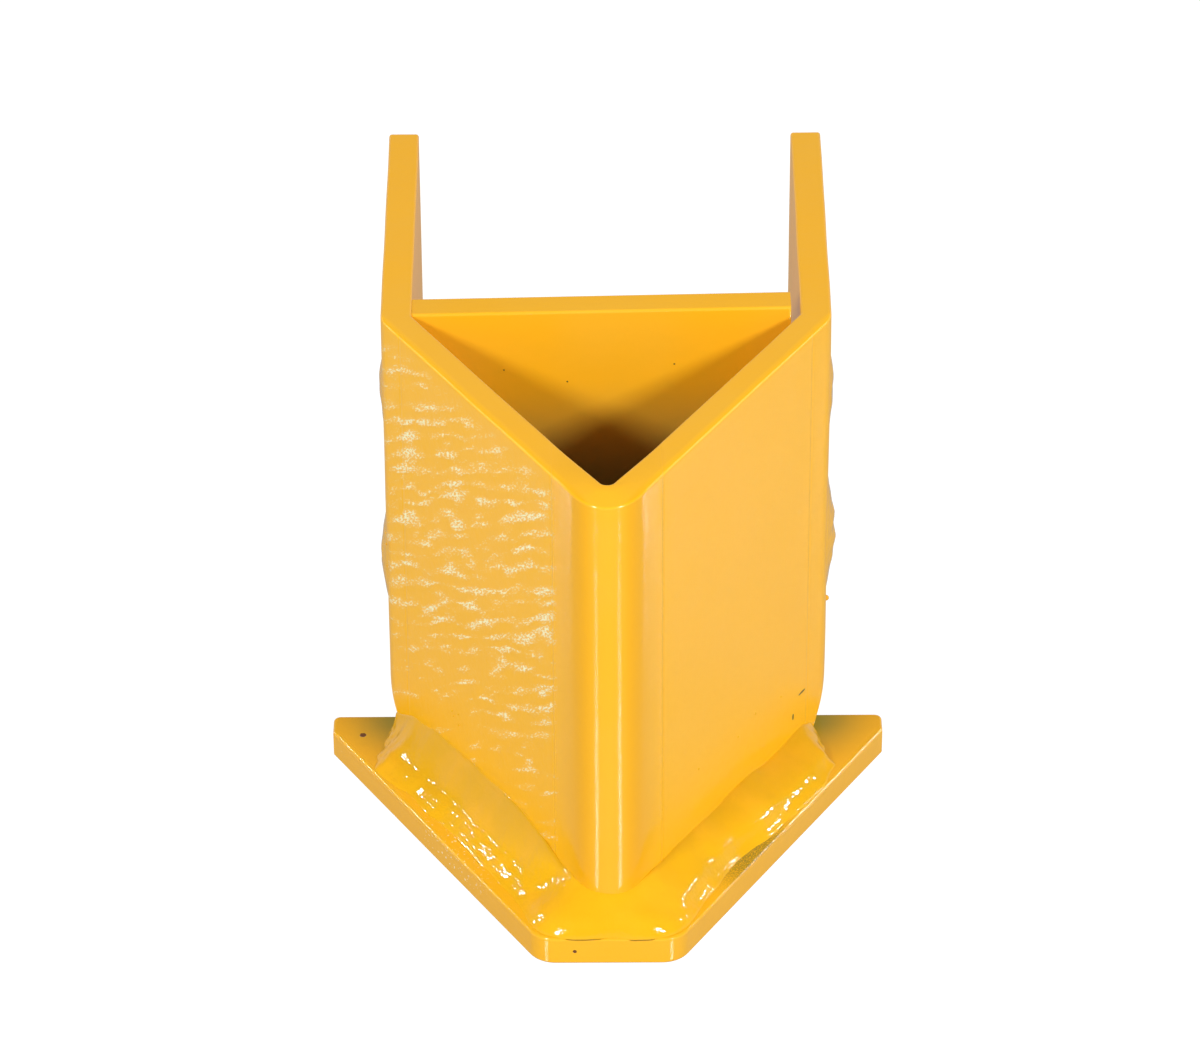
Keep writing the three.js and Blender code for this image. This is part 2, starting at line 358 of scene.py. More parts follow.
def fill_between(vertices, outer, inner, up):
    """Triangles between an outline and a hole inside it, facing up or down."""
    mesh = bmesh.new()
    made = {}
    for ring in (outer, inner):
        verts = [mesh.verts.new(vertices[i]) for i in ring]
        made.update(zip(verts, ring))
        for k, vert in enumerate(verts):
            mesh.edges.new((vert, verts[(k + 1) % len(verts)]))
    result = bmesh.ops.triangle_fill(mesh, use_beauty=True, edges=mesh.edges[:], normal=(0, 0, up))
    faces = []
    for face in result["geom"]:
        if isinstance(face, bmesh.types.BMFace):
            face.normal_update()
            corners = [made[vert] for vert in face.verts]
            faces.append(tuple(corners if face.normal.z * up > 0 else reversed(corners)))
    mesh.free()
    return faces


def circle(centre, radius, steps=40):
    """An anticlockwise circle of points."""
    turns = [2 * math.pi * k / steps for k in range(steps)]
    return [centre + Vector((math.cos(t), math.sin(t))) * radius for t in turns]


def base_plate(material):
    """The floor plate, with the anchor hole in the pocket."""
    side_front_y = BASE_HIGH.y - BASE_SIDE
    front_half_width = BASE_HIGH.x - (side_front_y - BASE_LOW.y) / math.tan(FACE_ANGLE)
    outline = rounded_outline(
        [
            (BASE_HIGH.x, BASE_HIGH.y, BASE_BACK_RADIUS),
            (BASE_LOW.x, BASE_HIGH.y, BASE_BACK_RADIUS),
            (BASE_LOW.x, side_front_y, BASE_SIDE_RADIUS),
            (-front_half_width, BASE_LOW.y, BASE_FRONT_RADIUS),
            (front_half_width, BASE_LOW.y, BASE_FRONT_RADIUS),
            (BASE_HIGH.x, side_front_y, BASE_SIDE_RADIUS),
        ]
    )
    openings = {opening["name"]: opening for opening in frame["record"]["physics"]["openings"]}
    low, high = openings["anchor_hole"]["box_m"]
    centre = (Vector(low[:2]) + Vector(high[:2])) / 2 / MM
    vertices, faces = plate_mesh(outline, BASE_TOP, circle(centre, ANCHOR_HOLE_RADIUS))
    vertices = [uneven(point, wavelength=20, amount=0.08) for point in vertices]
    return make_piece("base_plate_painted", vertices, faces, material, ["base_plate"])


def back_plate(material):
    """The plate that closes the nose, with the tabs that go into the legs."""
    width = INNER_X - LEG_GAP
    tab_end = INNER_X + TAB_DEPTH
    right_edge = [(width, LEG_BOTTOM)]
    for middle, length in TABS:
        low = BASE_TOP + middle - length / 2
        high = low + length
        right_edge += [(width, low), (tab_end, low), (tab_end, high), (width, high)]
    right_edge.append((width, TOP))
    left_edge = [(-x, z) for x, z in reversed(right_edge)]
    outline = [Vector(point) for point in right_edge + left_edge]
    flat, faces = plate_mesh(outline, BACK_HIGH.y - BACK_LOW.y)
    turn = Matrix.Rotation(BACK_TURN_Z, 3, "Z") @ Matrix.Rotation(BACK_TURN_Y, 3, "Y")
    upright = [turn @ Vector((p.x, BACK_HIGH.y - p.z, p.y)) for p in flat]
    vertices = [uneven(point, wavelength=20, amount=0.1) for point in upright]
    return make_piece("back_plate_painted", vertices, faces, material, ["back_plate"])


# ---------------------------------------------------------------- weld beads

# The bead's (distance, size) along each face of the nose, from its rear bend to the middle of the nose.
LEFT_HEIGHT = [
    (2.5, 5.0), (12, 8.8), (22, 10.2), (39, 11.2), (51, 11.3), (63, 9.8), (71, 7.6), (83.2, 6.5),
]
LEFT_WIDTH = [
    (2.5, 2.0), (6, 5.2), (9, 8.6), (13, 11.3), (26, 9.8),
    (42, 9.0), (62, 9.3), (76, 11.0), (83.2, 6.4),
]
RIGHT_HEIGHT = [(5.5, 3.6), (10, 5.2), (22, 4.6), (34, 6.2), (50, 6.5), (65, 6.8), (83.2, 6.5)]
RIGHT_WIDTH = [
    (5.5, 2.5), (9, 5.4), (12.5, 9.8), (22, 11.6), (37, 10.8),
    (54, 9.0), (66, 10.2), (76, 11.2), (83.2, 6.4),
]

# Across the bead, from its toe on the nose plate to its toe on the floor plate, as shares of its width
# and height. On the left it falls steeply to a narrow ledge, on the right it rolls over a crest, and
# round the nose it slopes evenly to a rounded lip.
LEFT_PROFILE = [
    (0.00, 1.000), (0.04, 0.930), (0.10, 0.835), (0.18, 0.715), (0.27, 0.590),
    (0.36, 0.475), (0.44, 0.378), (0.51, 0.302), (0.57, 0.255), (0.63, 0.225),
    (0.69, 0.195), (0.75, 0.150), (0.82, 0.090), (0.90, 0.035), (1.00, 0.000),
]
RIGHT_PROFILE = [
    (0.00, 1.000), (0.10, 0.925), (0.20, 0.850), (0.30, 0.775), (0.40, 0.700),
    (0.49, 0.630), (0.57, 0.565), (0.64, 0.505), (0.70, 0.435), (0.75, 0.350),
    (0.80, 0.250), (0.85, 0.165), (0.90, 0.095), (0.95, 0.040), (1.00, 0.000),
]
NOSE_PROFILE = [
    (0.00, 1.000), (0.06, 0.950), (0.13, 0.890), (0.21, 0.820), (0.29, 0.750),
    (0.37, 0.685), (0.45, 0.625), (0.53, 0.565), (0.61, 0.505), (0.69, 0.445),
    (0.76, 0.380), (0.83, 0.305), (0.90, 0.205), (0.96, 0.095), (1.00, 0.000),
]
NOSE_BLEND = [(68, 0.0), (79, 1.0)]  # share of the nose's profile, by distance from the rear bend
BEAD_ENDS = [(-1.3, 0.25), (-1.15, 0.5), (-0.85, 0.72), (-0.45, 0.9)]  # (distance, size) past the end
BEAD_STEP = 0.7  # between sections of the bead
BEAD_SUNK = 0.4  # how far its hidden sides lie inside the plates


def bead_profile(distance, side):
    """The bead's profile at a distance from the rear bend on the left (-1) or right (1) face."""
    share = interpolate(NOSE_BLEND, distance)
    beside = LEFT_PROFILE if side < 0 else RIGHT_PROFILE
    return [Vector(a).lerp(Vector(b), share) for a, b in zip(beside, NOSE_PROFILE)]


def bead_section(foot, out, width, height, profile):
    """A closed outline across a bead, from its toe on the floor plate to its toe on the nose plate."""
    points = []
    for across, rise in reversed(profile):
        points.append(foot + out * width * across + Vector((0, 0, BASE_TOP + height * rise)))
    bottom = BASE_TOP - BEAD_SUNK
    points.append(foot - out * BEAD_SUNK + Vector((0, 0, BASE_TOP + height)))
    points.append(foot - out * BEAD_SUNK + Vector((0, 0, bottom)))
    points.append(foot + out * width + Vector((0, 0, bottom)))
    return points


def path_stations(step):
    """(point, outward normal, distance from the rear bend, side) along the outside of the nose, from the
    left rear bend round to the right one."""
    to_corner = math.tan((math.pi / 2 - FACE_ANGLE) / 2) * OUTER_REAR_RADIUS
    tolerance = 1e-6
    nose = [station for station in OUTER_PATH if abs(station[2]) <= FACE_ANGLE + tolerance]
    total = sum(math.dist(a[:2], b[:2]) for a, b in zip(nose, nose[1:]))
    stations = []
    travelled = 0.0
    next_at = 0.0
    for a, b in zip(nose, nose[1:]):
        length = math.dist(a[:2], b[:2])
        while next_at <= travelled + length:
            t = (next_at - travelled) / length
            x, y, heading = (p + (q - p) * t for p, q in zip(a, b))
            side = -1 if next_at < total / 2 else 1
            from_rear = to_corner + min(next_at, total - next_at)
            normal = Vector((math.sin(heading), -math.cos(heading), 0))
            stations.append((Vector((x, y, 0)), normal, from_rear, side))
            next_at += step
        travelled += length
    return stations


def base_weld(material):
    """The bead that runs round the nose where it stands on the floor plate."""
    sections = []
    for foot, out, distance, side in path_stations(BEAD_STEP):
        heights = LEFT_HEIGHT if side < 0 else RIGHT_HEIGHT
        widths = LEFT_WIDTH if side < 0 else RIGHT_WIDTH
        if distance >= heights[0][0]:
            width = interpolate(widths, distance)
            height = interpolate(heights, distance)
            sections.append((foot, out, width, height, bead_profile(distance, side)))
    rounded = [bead_end(sections[0], sections[1], *end) for end in BEAD_ENDS]
    rounded += sections
    rounded += [bead_end(sections[-1], sections[-2], *end) for end in reversed(BEAD_ENDS)]
    loops = []
    for section in rounded:
        lumpy = [uneven(point, wavelength=6.5, amount=0.35) for point in bead_section(*section)]
        loops.append([uneven(point, wavelength=2.2, amount=0.08) for point in lumpy])
    vertices, faces = loft(loops)
    nodes = ["base_weld_left", "base_weld_right", "base_weld_nose"]
    return make_piece("base_weld_bead", vertices, faces, material, nodes)


def bead_end(first, second, distance, size):
    """A smaller section a little outside the first one, which rounds off the end of the bead."""
    foot, out, width, height, profile = first
    along = (second[0] - foot).normalized()
    return foot + along * distance, out, width * size, height * size, profile


# ---------------------------------------------------------------- welds over the slots

# Each closes a slot from outside a leg. Its lower end, upper end and peak are heights above the floor
# plate, and `proud` is how far it stands out at the peak.
SLOT_WELDS = [
    {"side": "left", "level": "upper", "low": 71, "high": 90, "peak": 83.5, "proud": 0.75},
    {"side": "left", "level": "lower", "low": 27, "high": 55, "peak": 38.5, "proud": 1.35},
    {"side": "right", "level": "upper", "low": 68, "high": 91, "peak": 83.5, "proud": 0.85},
    {"side": "right", "level": "lower", "low": 28, "high": 63, "peak": 44.5, "proud": 1.75},
]
SLOT_WELD_WIDTH = 14.5
SLOT_WELD_SUNK = 0.35  # how far its rim lies under the paint of the leg
SLOT_WELD_RINGS = 14
SLOT_WELD_AROUND = 64  # vertices in each ring

LEG_SPATTER = {"count": 6, "y": (-2, 16), "height": (20, 70)}
FACE_SPATTER = {"count": 9, "x": (16, 42), "height": (13, 24)}
SPATTER_RADIUS = (0.15, 0.32)
LARGEST_SPATTER = (OUTER_X + 0.15, 4.5, BASE_TOP + 29)  # the one that shows in the outline
LARGEST_RADIUS = 0.6


def side_surface(y):
    """Half width of the guard at this Y, outside, on the rear bend or a leg."""
    half = OUTER_PATH[len(OUTER_PATH) // 2:]
    for (x0, y0, _), (x1, y1, _) in zip(half, half[1:]):
        if y0 <= y <= y1:
            return x0 + (x1 - x0) * (y - y0) / (y1 - y0)
    return OUTER_X


def slot_weld(material, side, level, low, high, peak, proud):
    """A low swelling of weld metal on the outer face of a leg, which laps round the rear bend."""
    away = -1 if side == "left" else 1
    ripple_length = 3.2
    ripple_share = 0.35
    far_apart = 9  # so that the two sides don't share their ripples
    around = SLOT_WELD_AROUND
    middle_y = (BACK_LOW.y + BACK_HIGH.y) / 2
    middle_z = BASE_TOP + (low + high) / 2
    peak_z = BASE_TOP + peak
    vertices = [Vector((away * (side_surface(middle_y) + proud), middle_y, peak_z))]
    for ring in range(1, SLOT_WELD_RINGS + 1):
        out = ring / SLOT_WELD_RINGS
        fade = 0.5 + 0.5 * math.cos(math.pi * out)
        sunk = SLOT_WELD_SUNK * out ** 6
        for k in range(around):
            turn = 2 * math.pi * k / around
            rim_y = middle_y + math.cos(turn) * SLOT_WELD_WIDTH / 2
            rim_z = middle_z + math.sin(turn) * (high - low) / 2
            y = middle_y + (rim_y - middle_y) * out
            z = peak_z + (rim_z - peak_z) * out
            in_noise = Vector((away * far_apart, y / ripple_length, z / ripple_length))
            ripple = 1 + ripple_share * noise.noise(in_noise)
            x = away * (side_surface(y) + proud * fade * ripple - sunk)
            vertices.append(Vector((x, y, z)))
    faces = [(0, 1 + (k + 1) % around, 1 + k) for k in range(around)]
    for face in join_loops(SLOT_WELD_RINGS, around):
        faces.append(tuple(1 + corner for corner in face))
    rim = tuple(range(len(vertices) - around, len(vertices)))
    faces.append(rim)
    if away > 0:
        faces = [tuple(reversed(face)) for face in faces]
    node = f"slot_weld_{side}_{level}"
    return make_piece(f"{node}_bead", vertices, faces, material, [node])


def spatter(material):
    """Small balls of weld metal that were painted over where they stuck."""
    chance = random.Random(7)
    places = []
    for _ in range(LEG_SPATTER["count"]):
        x = chance.choice((-1, 1)) * OUTER_X
        y = chance.uniform(*LEG_SPATTER["y"])
        places.append((x, y, BASE_TOP + chance.uniform(*LEG_SPATTER["height"])))
    for _ in range(FACE_SPATTER["count"]):
        x = chance.choice((-1, 1)) * chance.uniform(*FACE_SPATTER["x"])
        y = -(OUTER_X - abs(x)) * math.tan(FACE_ANGLE)
        places.append((x, y, BASE_TOP + chance.uniform(*FACE_SPATTER["height"])))
    spots = [(LARGEST_SPATTER, LARGEST_RADIUS)]
    spots += [(place, chance.uniform(*SPATTER_RADIUS)) for place in places]
    balls = bmesh.new()
    for place, radius in spots:
        at = Matrix.Translation(place)
        bmesh.ops.create_icosphere(balls, subdivisions=3, radius=radius, matrix=at)
    vertices = [vert.co.copy() for vert in balls.verts]
    faces = [tuple(vert.index for vert in face.verts) for face in balls.faces]
    balls.free()
    return make_piece("weld_spatter", vertices, faces, material)


# ---------------------------------------------------------------- paint


def add_node(tree, kind, inputs=(), **settings):
    """A node with its settings, and with each input either linked to a socket or given a value."""
    node = tree.nodes.new(kind)
    for name, value in settings.items():
        setattr(node, name, value)
    for name, value in dict(inputs).items():
        if isinstance(value, bpy.types.NodeSocket):
            tree.links.new(value, node.inputs[name])
        else:
            node.inputs[name].default_value = value
    return node


class Paint:
    """A glossy powder coat, built up in layers of colour and of height for the bump. Masks run from 0 to
    1, and every node works in the guard's own coordinates."""

    def __init__(self, name, colour, roughness):
        self.material = bpy.data.materials.new(name)
        self.material.use_nodes = True
        self.tree = self.material.node_tree
        self.shader = self.tree.nodes["Principled BSDF"]
        self.shader.inputs["Roughness"].default_value = roughness
        self.place = self.node("ShaderNodeTexCoord").outputs["Object"]
        parts = self.node("ShaderNodeSeparateXYZ", {"Vector": self.place})
        self.x, self.y, self.z = parts.outputs
        self.colour = (*colour, 1)
        self.height = 0.0

    def node(self, kind, inputs=(), **settings):
        """A node in this material."""
        return add_node(self.tree, kind, inputs, **settings)

    def math(self, operation, *values):
        """The result of a sum on sockets and numbers."""
        node = self.node("ShaderNodeMath", enumerate(values), operation=operation)
        return node.outputs["Value"]

    def step(self, value, low, high, below=0.0, above=1.0):
        """`below` up to low, `above` from high on, and smooth between them."""
        inputs = {"Value": value, "From Min": low, "From Max": high, "To Min": below, "To Max": above}
        node = self.node("ShaderNodeMapRange", inputs, interpolation_type="SMOOTHSTEP")
        return node.outputs["Result"]

    def grain(self, size, detail=2.0, stretch=(1, 1, 1), place=None):
        """Noise from 0 to 1 whose features are `size` millimetres across, times the stretch. It doesn't
        vary along an axis whose stretch is 0."""
        scale = tuple(0.0 if s == 0 else 1 / (size * MM * s) for s in stretch)
        place = place or self.place
        scaled = self.node("ShaderNodeVectorMath", {0: place, 1: scale}, operation="MULTIPLY")
        inputs = {"Vector": scaled.outputs["Vector"], "Scale": 1.0, "Detail": detail}
        return self.node("ShaderNodeTexNoise", inputs).outputs["Fac"]

    def away_from(self, centre, size):
        """Distance from a centre, as a share of the size along each axis."""
        inputs = {0: self.place, 1: Vector(centre) * MM}
        offset = self.node("ShaderNodeVectorMath", inputs, operation="SUBTRACT")
        inputs = {0: offset.outputs["Vector"], 1: tuple(1 / (s * MM) for s in size)}
        scaled = self.node("ShaderNodeVectorMath", inputs, operation="MULTIPLY")
        length = self.node("ShaderNodeVectorMath", {0: scaled.outputs["Vector"]}, operation="LENGTH")
        return length.outputs["Value"]

    def spot(self, centre, size, ragged=0.5):
        """1 inside a ragged ellipsoid, 0 outside."""
        rough = self.math("MULTIPLY", self.grain(0.5), ragged)
        away = self.math("ADD", self.away_from(centre, size), rough)
        return self.step(away, 0.9 + ragged / 2, 1.1 + ragged / 2, 1.0, 0.0)

    def soft_spot(self, centre, size):
        """1 at the centre, and fading to 0 at the size."""
        return self.step(self.away_from(centre, size), 0.0, 1.0, 1.0, 0.0)

    def tint(self, mask, colour):
        """Mixes a colour in where the mask is 1."""
        factor, under, over, result = 0, 6, 7, 2  # where a colour mix has its sockets
        inputs = {factor: mask, under: self.colour, over: (*colour, 1)}
        mix = self.node("ShaderNodeMix", inputs, data_type="RGBA")
        self.colour = mix.outputs[result]

    def raise_by(self, mask, amount):
        """Adds to the surface height, in millimetres, where the mask is 1."""
        self.height = self.math("ADD", self.height, self.math("MULTIPLY", mask, amount))

    def roughen(self, roughness):
        """Makes the roughness follow a socket."""
        self.tree.links.new(roughness, self.shader.inputs["Roughness"])

    def finish(self):
        """Connects the layers to the shader, and returns the material."""
        self.tree.links.new(self.colour, self.shader.inputs["Base Color"])
        bump = self.node("ShaderNodeBump", {"Height": self.height, "Distance": MM, "Strength": 1.0})
        self.tree.links.new(bump.outputs["Normal"], self.shader.inputs["Normal"])
        return self.material


YELLOW = (0.89, 0.44, 0.012)
PALE_YELLOW = (0.86, 0.45, 0.03)
# painted shading on the nose plate: deeper yellow on the bend, brighter yellow on the flat faces
SHADED_BEND_YELLOW = (0.87, 0.415, 0.003)
LIT_FACE_YELLOW = (0.96, 0.485, 0.004)
WELD_YELLOW = (0.75, 0.395, 0.004)
# white of the painted glints on the left face, and of the pale specks on the floor plate's left edge
GLINT_AND_SPECK = (1.0, 0.93, 0.60)
# painted shade deep in the pocket
POCKET_SHADE = (0.26, 0.205, 0.065)
# painted shade over the top of the floor plate
SHADED_TOP_YELLOW = (0.79, 0.41, 0.010)
# dust and painted shade in the floor plate's back corners
BASE_DUST_AND_SHADE = (0.36, 0.28, 0.03)
GRIME = (0.10, 0.075, 0.012)
OLIVE_GRIME = (0.25, 0.185, 0.015)
RUST = (0.16, 0.06, 0.012)

COAT_ROUGHNESS = 0.13
FACE_ROUGHNESS = 0.30
WELD_ROUGHNESS = 0.05

DIE_LINES = (11.1, 42.0)  # distance from the middle of the guard
ROW_SPACING = 4.1  # between the rows of wrinkles on the left face
ROW_CLIMB = 1.1  # how steeply they rise towards the nose
POCKET_DEEP = TOP - 46  # POCKET_DEEP = TOP - 46 # below this height the pocket is painted in shade all over
POCKET_UNSHADED = TOP - 15  # POCKET_UNSHADED = TOP - 15 # and above this one it has no painted shade
GRIME_MIDDLE = -23.7  # along the right edge of the floor plate

# (centre, size) of the small marks
NOSE_SCRATCHES = [
    ((40.9, -8.4, BASE_TOP + 13.8), (1.0, 1.7, 0.28)),
    ((39.0, -11.5, BASE_TOP + 9.6), (0.25, 0.4, 0.8)),
]
BACK_SPECKS = [
    ((-21, BACK_LOW.y, TOP - 14), (0.2, 1, 0.2)),
    ((14, BACK_LOW.y, TOP - 13), (0.2, 1, 0.2)),
    ((-8, BACK_LOW.y, TOP - 17), (0.2, 1, 0.2)),
]
BASE_PITS = [
    ((-52, -4, BASE_TOP), (0.7, 0.7, 0.5)),
    ((39.8, -26, BASE_TOP), (0.7, 1.2, 2.0)),
    ((-7, BASE_LOW.y, BASE_TOP / 2), (0.4, 0.6, 0.4)),
]


def coat(name, colour):
    """The paint that every plate shares: slow drifts of tone and a light orange peel."""
    paint = Paint(name, colour, COAT_ROUGHNESS)
    paint.tint(paint.step(paint.grain(30), 0.35, 0.7, 0.0, 0.5), PALE_YELLOW)
    paint.raise_by(paint.grain(1.8), 0.035)
    paint.raise_by(paint.grain(7.0), 0.06)
    return paint


def outside_face(paint):
    """1 on the outside of the nose plate, 0 on its inside."""
    sideways = paint.math("SUBTRACT", paint.math("ABSOLUTE", paint.x), OUTER_X * MM)
    ahead = paint.math("MULTIPLY", paint.y, -math.cos(FACE_ANGLE))
    proud = paint.math("ADD", paint.math("MULTIPLY", sideways, math.sin(FACE_ANGLE)), ahead)
    return paint.step(proud, -2.0 * MM, -0.6 * MM)


def mark(paint, marks, colour, depth=0.0):
    """Scratches, specks or pits in the paint."""
    for centre, size in marks:
        spot = paint.spot(centre, size)
        paint.tint(spot, colour)
        if depth:
            paint.raise_by(spot, -depth)


def die_lines(paint, outside, across):
    """The fine line that the die of the press brake left beside each bend."""
    for place in DIE_LINES:
        away = paint.math("ABSOLUTE", paint.math("SUBTRACT", across, place * MM))
        line = paint.math("MULTIPLY", outside, paint.step(away, 0.05 * MM, 0.3 * MM, 1.0, 0.0))
        paint.raise_by(line, -0.06)


def wrinkles_and_painted_glints(paint, outside):
    """Wrinkles in the paint of the left face, with painted white glints in short rows of crumbs and a
    faint painted sheen over the rows. The rows climb towards the nose, and thin out towards the floor."""
    # The rows stand where a drifting wave up the face and patches of noise add up to a crest.
    climb = paint.math("SUBTRACT", paint.z, paint.math("MULTIPLY", paint.x, ROW_CLIMB))
    leaning = paint.node("ShaderNodeCombineXYZ", {"X": paint.x, "Z": climb}).outputs["Vector"]
    phase = paint.math("MULTIPLY", climb, 2 * math.pi / (ROW_SPACING * MM))
    drift = paint.math("MULTIPLY", paint.grain(10.0, detail=3, place=leaning), 20.0)
    waves = paint.math("SINE", paint.math("ADD", phase, drift))
    patches = paint.grain(3.2, detail=3, stretch=(1.5, 0, 1), place=leaning)
    ridges = paint.math("ADD", waves, paint.math("MULTIPLY", patches, 10.0))
    thinning = paint.step(paint.z, 14 * MM, 50 * MM, -1.5, 0.0)
    rows = paint.step(paint.math("ADD", ridges, thinning), 4.3, 7.3)
    fine = paint.grain(0.45, detail=3, stretch=(1, 0, 1), place=leaning)
    crumbs = paint.step(paint.math("ADD", fine, paint.math("MULTIPLY", rows, 0.15)), 0.58, 0.71)

    # They keep to the flat of the face, between the bends and below the top edge.
    left = paint.math("MULTIPLY", outside, paint.step(paint.x, -12 * MM, -10 * MM, 1.0, 0.0))
    on_face = paint.math("MULTIPLY", left, paint.step(paint.x, -47 * MM, -44 * MM))
    below_top = paint.step(paint.z, (TOP - 8) * MM, (TOP - 2) * MM, 1.0, 0.0)
    wrinkled = paint.math("MULTIPLY", paint.math("MULTIPLY", on_face, rows), below_top)
    # A faint painted sheen over the rows, then painted white glints on the crumbs, which are also raised
    # a little in the bump.
    paint.tint(paint.math("MULTIPLY", wrinkled, 0.10), GLINT_AND_SPECK)
    glint_flecks = paint.math("MULTIPLY", paint.math("POWER", wrinkled, 0.6), crumbs)
    paint.tint(glint_flecks, GLINT_AND_SPECK)
    paint.raise_by(glint_flecks, 0.05)
    paint.raise_by(paint.math("MULTIPLY", left, paint.grain(1.5, detail=2)), 0.05)


def deep_in_pocket(paint):
    """1 where the pocket is painted in shade, deep down, 0 near its top."""
    return paint.step(paint.z, POCKET_DEEP * MM, POCKET_UNSHADED * MM, 1.0, 0.0)


def nose_plate_paint():
    """Painted shading on the nose bend and faces, less gloss on the faces, wrinkled paint with painted
    glints, painted shade deep inside, and scratches.
    """
    paint = coat("nose_plate_paint", YELLOW)
    outside = outside_face(paint)
    across = paint.math("ABSOLUTE", paint.x)
    paint.roughen(paint.step(across, 7 * MM, 12 * MM, COAT_ROUGHNESS, FACE_ROUGHNESS))
    # Painted shading: a deeper yellow on the nose bend and a brighter one on the flat faces, for the way
    # the light and the floor's reflection fall on them.
    on_bend = paint.step(across, 5 * MM, 11 * MM, 1.0, 0.0)
    paint.tint(paint.math("MULTIPLY", outside, on_bend), SHADED_BEND_YELLOW)
    off_bend = paint.math("SUBTRACT", 1.0, on_bend)
    paint.tint(paint.math("MULTIPLY", outside, off_bend), LIT_FACE_YELLOW)
    die_lines(paint, outside, across)
    wrinkles_and_painted_glints(paint, outside)

    inside = paint.math("SUBTRACT", 1.0, outside)
    ahead = paint.step(paint.y, (BACK_LOW.y - 1) * MM, BACK_LOW.y * MM, 1.0, 0.0)
    behind = paint.step(paint.y, (INNER_TIP_Y - 1.5) * MM, (INNER_TIP_Y - 0.5) * MM)
    pocket = paint.math("MULTIPLY", paint.math("MULTIPLY", inside, ahead), behind)
    # Painted shade deep in the pocket, on the inside of the nose plate.
    paint.tint(paint.math("MULTIPLY", pocket, deep_in_pocket(paint)), POCKET_SHADE)
    mark(paint, NOSE_SCRATCHES, GRIME, depth=0.08)
    return paint.finish()


def back_plate_paint():
    """Painted shade deep down, and specks, on the side that faces the pocket."""
    paint = coat("back_plate_paint", YELLOW)
    pocket = paint.step(paint.y, (BACK_LOW.y + 0.2) * MM, (BACK_LOW.y + 1.5) * MM, 1.0, 0.0)
    # Painted shade deep in the pocket.
    paint.tint(paint.math("MULTIPLY", pocket, deep_in_pocket(paint)), POCKET_SHADE)
    mark(paint, BACK_SPECKS, GRIME)
    return paint.finish()


def edge_grime(paint, on_top):
    """A strip of grime on the floor plate between the right bead and the plate's edge."""
    forward = paint.math("MULTIPLY", paint.x, math.cos(FACE_ANGLE))
    along = paint.math("ADD", forward, paint.math("MULTIPLY", paint.y, math.sin(FACE_ANGLE)))
    from_middle = paint.math("ABSOLUTE", paint.math("SUBTRACT", along, GRIME_MIDDLE * MM))
    strip = paint.step(from_middle, 3 * MM, 17 * MM, 1.0, 0.0)
    right = paint.math("MULTIPLY", on_top, paint.step(paint.x, 0.0, 5 * MM))
    specks = paint.step(paint.grain(0.35, detail=2), 0.25, 0.60)
    paint.tint(paint.math("MULTIPLY", paint.math("MULTIPLY", strip, right), specks), OLIVE_GRIME)


def base_plate_paint():
    """Painted shade on top, dust and painted shade in the back corners, pale specks on the left edge,
    grime and rusty pits.
    """
    paint = coat("base_plate_paint", YELLOW)
    on_top = paint.step(paint.z, (BASE_TOP - 0.5) * MM, (BASE_TOP - 0.15) * MM)
    # Painted shade: the whole top of the floor plate a darker yellow.
    paint.tint(on_top, SHADED_TOP_YELLOW)
    for side in (-1, 1):
        # Dust and painted shade in the back corners, beside the legs.
        back_corner = paint.soft_spot((side * 43, 2, BASE_TOP), (15, 18, 6))
        paint.tint(back_corner, BASE_DUST_AND_SHADE)
    crumbs = paint.step(paint.grain(0.7, detail=3), 0.63, 0.67)
    left_edge = paint.soft_spot((-33, -46, BASE_TOP - 2), (14, 22, 5))
    paint.tint(paint.math("MULTIPLY", left_edge, crumbs), GLINT_AND_SPECK)
    edge_grime(paint, on_top)
    mark(paint, BASE_PITS, RUST, depth=0.1)
    return paint.finish()


def weld_paint(name, colour):
    """The paint over a weld, glossier than on the plates and drifting to a second tone."""
    paint = Paint(name, colour, WELD_ROUGHNESS)
    paint.shader.inputs["Specular IOR Level"].default_value = 0.3
    paint.tint(paint.step(paint.grain(12), 0.4, 0.7, 0.0, 0.5), YELLOW)
    paint.raise_by(paint.grain(1.3, detail=1), 0.09)
    return paint.finish()


# ---------------------------------------------------------------- the studio

LIGHT_DISTANCE = 1.5  # in metres, from the middle of the guard
KEY_SIZE = 0.2


def camera():
    """The photograph's view: from in front of the nose and 34 degrees up, through a long lens."""
    elevation = math.radians(34.216)
    roll = math.radians(-0.286)
    distance = 1277.6
    aim = Vector((-1.437, 0, BASE_TOP + 49.61))
    forward = Vector((0, math.cos(elevation), -math.sin(elevation)))
    up = Vector((0, math.sin(elevation), math.cos(elevation)))
    right = Vector((1, 0, 0))
    turned_right = right * math.cos(roll) + up * math.sin(roll)
    turned_up = up * math.cos(roll) - right * math.sin(roll)
    data = bpy.data.cameras.new("camera")
    data.lens = 183.9
    data.sensor_width = 36
    eye = bpy.data.objects.new("camera", data)
    bpy.context.scene.collection.objects.link(eye)
    turn = Matrix((turned_right, turned_up, -forward)).transposed()
    eye.matrix_world = Matrix.Translation((aim - forward * distance) * MM) @ turn.to_4x4()
    bpy.context.scene.camera = eye


def floor():
    """A glossy sheet that glows: white to the camera, and dimmer in the guard's own reflections, which
    would turn its lower faces pale."""
    bpy.ops.mesh.primitive_plane_add(size=16)
    plane = bpy.context.object
    plane.name = "floor"
    material = bpy.data.materials.new("floor")
    material.use_nodes = True
    tree = material.node_tree
    shader = tree.nodes["Principled BSDF"]
    shader.inputs["Base Color"].default_value = (0.12, 0.12, 0.12, 1)
    shader.inputs["Roughness"].default_value = 0.12
    shader.inputs["Emission Color"].default_value = (1, 1, 1, 1)
    seen = add_node(tree, "ShaderNodeLightPath").outputs["Is Camera Ray"]
    glow = add_node(tree, "ShaderNodeMapRange", {"Value": seen, "To Min": 0.29, "To Max": 0.97})
    tree.links.new(glow.outputs["Result"], shader.inputs["Emission Strength"])
    plane.data.materials.append(material)


